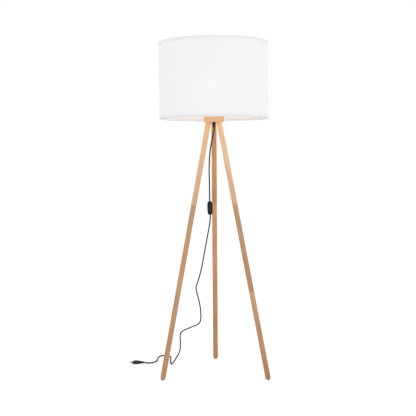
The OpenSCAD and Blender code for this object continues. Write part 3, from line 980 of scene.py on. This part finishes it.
@dataclass
class Lead:
    """The black lead: a hanging piece down to the switch, and the rest of it to the plug."""

    radius: float = 0.003
    grip_end: float = 1.137
    step: float = 0.008
    switch: SwitchPlace = field(default_factory=SwitchPlace)
    plug: PlugPlace = field(default_factory=PlugPlace)

    def hanging_route(self) -> list[Vector]:
        """The route from the grip into the switch's upper end, in metres."""
        hang = [
            (0, 0, 1137), (0, 0, 1120), (-9, -2, 1078), (-19, -3, 1020), (-23, -2, 950), (-22, 0, 860),
        ]
        half = self.switch.length / 2
        return [MM * Vector(p) for p in hang] + [
            self.switch.point(half + 0.006), self.switch.point(half - self.switch.lead_inside),
        ]

    def lower_route(self) -> list[Vector]:
        """The route from the switch's lower end down to the floor and into the plug, in metres."""
        half = self.switch.length / 2
        drop = [
            (-22, 2, 695), (-35, 8, 625), (-50, 17, 545), (-64, 27, 475), (-79, 35, 422), (-88, 40, 395),
            (-84, 46, 362), (-74, 52, 320), (-68, 58, 275), (-68, 62, 240), (-74, 65, 219),
            (-88, 70, 208), (-110, 79, 198), (-130, 89, 187), (-149, 98, 178), (-162, 104, 167),
            (-168, 108, 150), (-167, 113, 115), (-169, 117, 82), (-178, 120, 56), (-189, 122, 38),
            (-199, 125, 22), (-208, 134, 9), (-214, 153, 3),
            (-219, 190, 3), (-222, 242, 3), (-224, 290, 3), (-233, 316, 3), (-255, 327, 3),
            (-277, 317, 3), (-286, 290, 3), (-287, 240, 3), (-292, 202, 3), (-306, 177, 3), (-328, 169, 4),
        ]
        return [
            self.switch.point(self.switch.lead_inside - half), self.switch.point(-half - 0.006),
            *[MM * Vector(p) for p in drop],
            self.plug.point(0), self.plug.point(self.plug.lead_inside),
        ]

    def smooth(self, route: Sequence[Vector]) -> list[Vector]:
        """Draws one smooth curve through a route's points, never below the floor.

        Args:
            route: The route's points.

        Returns:
            Closely spaced points of the curve.
        """
        ends = [2 * route[0] - route[1], *route, 2 * route[-1] - route[-2]]
        curve = []
        for before, start, end, after in zip(ends, ends[1:], ends[2:], ends[3:]):
            steps = max(1, round((end - start).length / self.step))
            for k in range(steps):
                t = k / steps
                spot = 0.5 * (
                    2 * start + (end - before) * t + (2 * before - 5 * start + 4 * end - after) * t * t
                    + (3 * start - before - 3 * end + after) * t ** 3
                )
                spot.z = max(spot.z, self.radius)
                curve.append(spot)
        return [*curve, route[-1]]

    def strand(self, name: str, route: Sequence[Vector], replaced: str) -> tuple[bpy.types.Object, float]:
        """Makes one piece of the lead as a round curve.

        Args:
            name: The piece's name.
            route: Its route.
            replaced: The CAD node it stands for.

        Returns:
            The curve's object and its length.
        """
        line = self.smooth(route)
        data = bpy.data.curves.new(name, "CURVE")
        data.dimensions = "3D"
        data.bevel_depth, data.bevel_resolution, data.use_fill_caps = self.radius, 5, True
        spline = data.splines.new("POLY")
        spline.points.add(len(line) - 1)
        for point, spot in zip(spline.points, line):
            point.co = (*spot, 1)
        spline.use_smooth = True
        piece = add_object(name, data)
        Finishes.sheath.dress(piece)
        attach(piece, Body.STAND.value)
        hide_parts(replaced)
        length = sum((b - a).length for a, b in zip(line, line[1:]))
        log.info("made %s, %.3f m long", name, length)
        return piece, length

    def build(self, switch_pieces: Sequence[Any], plug_pieces: Sequence[Any]) -> None:
        """Args:
            switch_pieces: The pieces of the hand switch; not used.
            plug_pieces: The pieces of the plug; not used.
        """
        hanging, length = self.strand("lead_hanging", self.hanging_route(), "cord_upper")
        lower, length = self.strand("lead_lower", self.lower_route(), "cord_lower")
        half = self.switch.length / 2
        tuple(self.switch.point(-half))


# ---------------------------------------------------------------- hand switch


@dataclass
class HandSwitch:
    """The two-part case of the in-line switch, with its rocker."""

    place: SwitchPlace = field(default_factory=SwitchPlace)
    end_width: float = 0.0142
    end_depth: float = 0.0100
    window: tuple[float, float] = (0.0096, 0.0270)
    parting: float = 0.000002
    groove: float = 0.00012
    pivot_y: float = -0.005
    rest_tip: float = math.radians(7)
    rocker_width: float = 0.009
    screw_x: float = 0.007
    screw_z: float = 0.014
    well_y: float = 0.0109
    well_radius: float = 0.0021

    def slice(self, half: float, rise: float) -> Section:
        """One cross-section of the case: round at its ends and squarer in the middle.

        Args:
            half: Half the case's length.
            rise: How far up it lies, from -1 at the lower end to 1 at the upper one.

        Returns:
            The cross-section.
        """
        swell = (1 - abs(rise) ** 3.4) ** 0.7
        wide, deep = (
            (end + (full - end) * swell) / 2
            for end, full in ((self.end_width, self.place.width), (self.end_depth, self.place.depth))
        )
        return Section(half * rise, wide, deep, 2.2 + 3.3 * swell ** 1.5)

    def case(self) -> list[bpy.types.Object]:
        """Makes the front and back halves of the case.

        Returns:
            The two halves.
        """
        half, steps = self.place.length / 2, 28
        rises = [-math.cos(math.pi * k / steps) for k in range(steps + 1)]
        sections = [self.slice(half, rise) for rise in rises]
        made = []
        for side, half_name in ((-1, "front"), (1, "back")):
            mesh = loft(sections, 48)
            geometry = mesh.verts[:] + mesh.edges[:] + mesh.faces[:]
            bmesh.ops.bisect_plane(mesh, geom=geometry, plane_co=(0, side * self.parting, 0),
                                   plane_no=(0, side, 0), clear_inner=True)
            rim = [edge for edge in mesh.edges if edge.is_boundary]
            bmesh.ops.holes_fill(mesh, edges=rim, sides=0)
            round_edges(mesh, rim, self.groove, 1)
            bmesh.ops.recalc_face_normals(mesh, faces=mesh.faces)
            piece = as_piece(f"switch_case_{half_name}", mesh, Finishes.plastic, Body.STAND)
            carve(piece, rod_mesh(LEAD_BORE, self.place.length + 0.01))
            if side < 0:
                width, length = self.window
                carve(piece, box_mesh((width, 0.014, length), (0, -0.009, 0), 0.0012))
            else:
                for end in (-1, 1):
                    spot = Matrix.Translation((end * self.screw_x, self.well_y, end * self.screw_z))
                    carve(piece, move_all(rod_mesh(self.well_radius, 0.01, 24), spot @ FACING))
            piece.data.transform(self.place.matrix())
            sharpen(piece, 40)
            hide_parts(f"switch_{half_name}")
            made.append(piece)
        return made

    def rocker(self) -> bpy.types.Object:
        """Makes the rocker, tipped as it rests, with a bar and a ring moulded on its ends.

        Returns:
            The rocker.
        """
        side = [
            (-5.2, 11.4), (-4.6, 12), (0.6, 11), (1.6, 0), (0.6, -11), (-4.6, -12), (-5.2, -11.4), (-4.2, 0),
        ]
        mesh = bmesh.new()
        verts = [mesh.verts.new((-self.rocker_width / 2, MM * y, MM * z)) for y, z in side]
        face = mesh.faces.new(verts)
        grown = bmesh.ops.extrude_face_region(mesh, geom=[face])["geom"]
        moved = [part for part in grown if isinstance(part, bmesh.types.BMVert)]
        bmesh.ops.translate(mesh, vec=(self.rocker_width, 0, 0), verts=moved)
        bmesh.ops.recalc_face_normals(mesh, faces=mesh.faces)
        round_edges(mesh, mesh.edges, 0.0005)
        bar = box_mesh((0.0007, 0.0005, 0.0036), (0, -0.0049, -0.0075), 0.0002)
        ring = bmesh.new()
        add_turned(ring, [(0.0012, -0.0002), (0.0019, -0.0002), (0.0019, 0.0003), (0.0012, 0.0003)], 24)
        move_all(ring, Matrix.Translation((0, -0.0048, 0.0078)) @ FACING)
        merge(mesh, bar, ring)
        tip = Matrix.Translation((0, self.pivot_y, 0)) @ Matrix.Rotation(self.rest_tip, 4, "X")
        move_all(mesh, self.place.matrix() @ tip)
        piece = as_piece("switch_rocker_cap", mesh, Finishes.rocker, Body.ROCKER)
        sharpen(piece, 40)
        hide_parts("switch_rocker")
        return piece

    def build(self) -> list[Any]:
        """Builds the switch.

        Returns:
            All its pieces, CAD nodes among them.
        """
        pieces = [*self.case(), self.rocker()]
        dress_nodes(Finishes.zinc, ["switch_screws"])
        dress_nodes(Finishes.brass, ["switch_contacts"])
        return [*pieces, node("switch_screws"), node("switch_contacts")]


# ---------------------------------------------------------------- plug


@dataclass
class Plug:
    """A flat two-pin plug with moulded grip ribs."""

    place: PlugPlace = field(default_factory=PlugPlace)
    length: float = 0.050
    half_width: float = 0.0175
    half_thickness: float = 0.0068

    def body(self) -> bpy.types.Object:
        """Makes the moulded body.

        Returns:
            The body.
        """
        w, t = self.half_width, self.half_thickness
        profile = [
            (0.0, 0.0043, 0.0043, 2), (0.0006, 0.0046, 0.0046, 2), (0.006, 0.0048, 0.0047, 2),
            (0.011, 0.0053, 0.0050, 2.1), (0.0155, 0.0080, 0.0057, 2.3), (0.020, 0.0122, 0.0064, 2.7),
            (0.026, 0.0153, t - 0.0001, 3.1), (0.033, w - 0.0002, t, 3.4), (0.040, w, t, 3.6),
            (0.0465, w - 0.0004, t, 3.6), (0.0492, w - 0.0012, t - 0.0005, 3.4),
            (self.length, w - 0.0025, t - 0.0014, 3.2),
        ]
        sections = [Section(*row) for row in profile]
        piece = as_piece("plug_moulding", loft(sections, 64), Finishes.plastic, Body.STAND)
        carve(piece, rod_mesh(LEAD_BORE, 2 * (self.place.lead_inside + 0.0002)))
        for side in (-1, 1):
            for rib in range(4):
                spot = (side * (w + 0.0002), 0, 0.030 + 0.0036 * rib)
                carve(piece, box_mesh((0.0022, 0.03, 0.0011), spot, 0.0004))
        piece.data.transform(self.place.matrix())
        sharpen(piece, 40)
        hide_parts("plug_body")
        return piece

    def build(self) -> list[Any]:
        """Builds the plug.

        Returns:
            All its pieces, CAD nodes among them.
        """
        body = self.body()
        dress_nodes(Finishes.nickel, ["plug_pins"])
        dress_nodes(Finishes.plastic, ["plug_sleeves"])
        return [body, node("plug_pins"), node("plug_sleeves")]


# ---------------------------------------------------------------- shade


@dataclass
class Shade:
    """The drum shade: cloth on a liner film, hems round both rims, wire rings and carrier."""

    radius: float = 0.250
    skin: float = 0.0006
    hem_height: float = 0.012
    wire: float = 0.003
    slack: float = 0.0002
    film: float = 0.00005
    seam_at: float = math.radians(84)
    steps: int = 240

    def skin_piece(self) -> bpy.types.Object:
        """Makes the cloth skin as one turned sheet.

        Returns:
            The skin.
        """
        low, high = heights("shade_fabric")
        rows = 24
        outer = [(self.radius, low + (high - low) * k / rows) for k in range(rows + 1)]
        inner = [(self.radius - self.skin, z) for _, z in reversed(outer)]
        mesh = bmesh.new()
        add_turned(mesh, outer + inner, self.steps)
        wrap_cloth(mesh, self.radius)
        piece = as_piece("shade_cloth_skin", mesh, Finishes.cloth, Body.SHADE)
        sharpen(piece, 60)
        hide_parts("shade_fabric")
        return piece

    def hem_piece(self, name: str, replaced: str, up: int) -> bpy.types.Object:
        """Makes a rolled hem, folded round its wire.

        Args:
            name: The piece's name.
            replaced: The CAD node it stands for.
            up: 1 where the hem rises from the rim, -1 where it hangs from it.

        Returns:
            The hem.
        """
        low, high = heights(replaced)
        rim = low if up > 0 else high
        out, thick = self.radius, 0.0004
        wire_in = self.radius - 2 * self.skin - self.wire - 2 * self.slack
        outline = [
            (out + self.film, 0.0010), (out + self.film, self.hem_height), (out + 0.0003, self.hem_height),
            (out + thick, self.hem_height - 0.0003), (out + thick, 0.0016), (out + 0.0002, 0.0007),
            (out - 0.0004, 0.0001), (out - 0.0010, 0.0), (wire_in + 0.0012, 0.0), (wire_in + 0.0002, 0.0002),
            (wire_in - thick + 0.0001, 0.0010), (wire_in - thick, 0.0022), (wire_in - thick, 0.0040),
            (wire_in + 0.0008, 0.0058), (out - 0.0021, 0.0074), (out - 0.0018, self.hem_height),
            (out - 0.0014, self.hem_height), (out - 0.0014, 0.0066), (wire_in + 0.0002, 0.0045),
            (wire_in, 0.0022), (wire_in + 0.0008, 0.0005), (out - 0.0010, 0.0004),
        ]
        mesh = bmesh.new()
        add_turned(mesh, [(r, rim + up * z) for r, z in outline], self.steps)
        wrap_cloth(mesh, self.radius)
        piece = as_piece(name, mesh, Finishes.hem, Body.SHADE)
        sharpen(piece, 60)
        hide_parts(replaced)
        return piece

    def seam_piece(self) -> bpy.types.Object:
        """Makes the lapped end of the cloth, where the drum was closed.

        Returns:
            The lap.
        """
        low, high = heights("shade_seam")
        lap, columns, rows = math.radians(2.4), 6, 20
        mesh = bmesh.new()
        bmesh.ops.create_grid(mesh, x_segments=columns, y_segments=rows, size=1)
        radius = self.radius + self.film
        for vert in mesh.verts:
            angle = self.seam_at + lap / 2 * vert.co.x
            z = low + (high - low) * (vert.co.y + 1) / 2
            vert.co = (radius * math.cos(angle), radius * math.sin(angle), z)
        wrap_cloth(mesh, self.radius)
        bmesh.ops.recalc_face_normals(mesh, faces=mesh.faces)
        if mesh.faces[0].normal.dot(mesh.faces[0].calc_center_median()) < 0:
            bmesh.ops.reverse_faces(mesh, faces=mesh.faces)
        bmesh.ops.solidify(mesh, geom=mesh.faces[:], thickness=-0.00035)
        piece = as_piece("shade_cloth_lap", mesh, Finishes.cloth, Body.SHADE)
        sharpen(piece, 50)
        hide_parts("shade_seam")
        return piece

    def build(self) -> None:
        """Builds the shade."""
        skin = self.skin_piece()
        hems = [
            self.hem_piece("shade_hem_low", "shade_hem_bottom", 1),
            self.hem_piece("shade_hem_high", "shade_hem_top", -1),
        ]
        lap = self.seam_piece()
        dress_nodes(Finishes.liner, ["shade_liner"])
        dress_nodes(Finishes.wire, [
            "shade_wire_top", "shade_wire_bottom", "shade_carrier",
            "carrier_arm_right", "carrier_arm_left", "carrier_arm_front",
        ])


# ---------------------------------------------------------------- stand and holder


@dataclass(frozen=True)
class LegTone:
    """The wood colour of one leg section, with painted light in it, and what tints its top and bottom ends.
    """

    tone: Colour
    top: Colour = (1, 1, 1)
    bottom: Colour = (1, 1, 1)


# Tones fitted per leg and section with the light on each leg painted in, along with the wood's own colour:
# the upper sections are painted lighter near the head as lamplight from the shade, and the sections turn
# darker towards the feet.
LEG_TONES_WITH_PAINTED_LIGHT = {
    ("left", "upper"): LegTone((0.67, 0.44, 0.27), (1.30, 1.26, 1.14), (0.90, 0.90, 0.93)),
    ("left", "middle"): LegTone((0.52, 0.30, 0.165)),
    ("left", "lower"): LegTone((0.52, 0.295, 0.157), (0.96, 0.90, 0.92), (0.88, 0.79, 0.75)),
    ("right", "upper"): LegTone((0.69, 0.455, 0.285), (1.38, 1.38, 1.24), (0.82, 0.81, 0.85)),
    ("right", "middle"): LegTone((0.49, 0.28, 0.15), (1.02, 1.04, 1.04), (0.88, 0.84, 0.82)),
    ("right", "lower"): LegTone((0.50, 0.285, 0.15), (1.06, 1.06, 1.14), (0.80, 0.70, 0.66)),
    ("rear", "upper"): LegTone((0.56, 0.295, 0.138), (1.28, 1.20, 0.96), (0.92, 0.92, 1.0)),
    ("rear", "middle"): LegTone((0.55, 0.315, 0.167), (1.04, 1.04, 1.04), (0.89, 0.84, 0.82)),
    ("rear", "lower"): LegTone((0.48, 0.25, 0.12), (1.0, 1.0, 1.0), (0.90, 0.84, 0.80)),
}


@dataclass
class Stand:
    """Wooden head and legs, their metal, and the felt glides."""

    angles: dict[str, float] = field(default_factory=lambda: {"left": 210, "right": 330, "rear": 90})

    def leg_wood(self, leg: str, part: str, index: int) -> OiledWood:
        """The wood of one leg section.

        Args:
            leg: The leg's name.
            part: The section's name.
            index: The section's number from the top.

        Returns:
            Its finish, with the grain along the leg.
        """
        angle, number = math.radians(self.angles[leg]), list(self.angles).index(leg)
        centre = (LEG_RADIUS_AT_HEAD * math.cos(angle), LEG_RADIUS_AT_HEAD * math.sin(angle), HEAD_UNDERSIDE)
        spread = 0.011 * (index + 1) + 0.004 * number
        look = LEG_TONES_WITH_PAINTED_LIGHT[leg, part]
        top = 0.008 - index * SECTION_LENGTH
        return OiledWood(
            f"wood_{leg}_{part}", look.tone, ends=(look.top, look.bottom), reach=(top - SECTION_LENGTH, top),
            centre=centre, turn=(0, -LEG_TILT, angle),
            pith=(0.03 + spread, 0.02 - spread, 0.13 * index + 0.31 * number),
        )

    def build(self) -> None:
        """Dresses the stand."""
        low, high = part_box("head_disc")
        middle = tuple((low + high) / 2)
        OiledWood("wood_head", (0.82, 0.495, 0.26), centre=middle, turn=(0, math.pi / 2, math.radians(8)),
                  ring_gap=0.0050, pith=(0.09, 0.02, 0)).dress(node("head_disc"))
        for leg in self.angles:
            for index, part in enumerate(("upper", "middle", "lower")):
                self.leg_wood(leg, part, index).dress(node(f"leg_{leg}_{part}"))
        dress_nodes(Finishes.brass, ["head_inserts", "leg_inserts"])
        dress_nodes(Finishes.zinc, ["head_studs", "leg_studs", "nipple_tube", "nipple_washer", "nipple_nut"])
        dress_nodes(Finishes.felt, ["foot_glides"])
        dress_nodes(Finishes.plastic, ["cord_grip", "grip_screw"])
        dress_nodes(Finishes.sheath, ["cord_inner"])


@dataclass
class Lampholder:
    """Lampholder, shade ring and bulb, dressed as they are."""

    def build(self) -> None:
        """Dresses the lampholder and the bulb."""
        dress_nodes(Finishes.plastic, ["holder_cap", "holder_shell", "shade_ring"])
        dress_nodes(Finishes.ceramic, ["holder_core"])
        dress_nodes(Finishes.brass, ["screw_shell", "centre_contact", "terminal_screws"])
        dress_nodes(Finishes.opal, ["bulb_globe"])
        dress_nodes(Finishes.bulb_white, ["bulb_body", "bulb_board"])
        dress_nodes(Finishes.nickel, ["bulb_cap", "bulb_contact"])
        dress_nodes(Finishes.insulator, ["bulb_insulator"])


def main() -> None:
    """Builds the studio and then every piece of the lamp, in order."""
    logging.basicConfig(level=logging.INFO, format="%(name)s: %(message)s")
    studio = Studio()
    studio.build()
    switch, plug = HandSwitch(), Plug()
    Lead(switch=switch.place, plug=plug.place).build(switch.build(), plug.build())
    Shade().build()
    Stand().build()
    Lampholder().build()


if __name__ == "__main__":
    main()
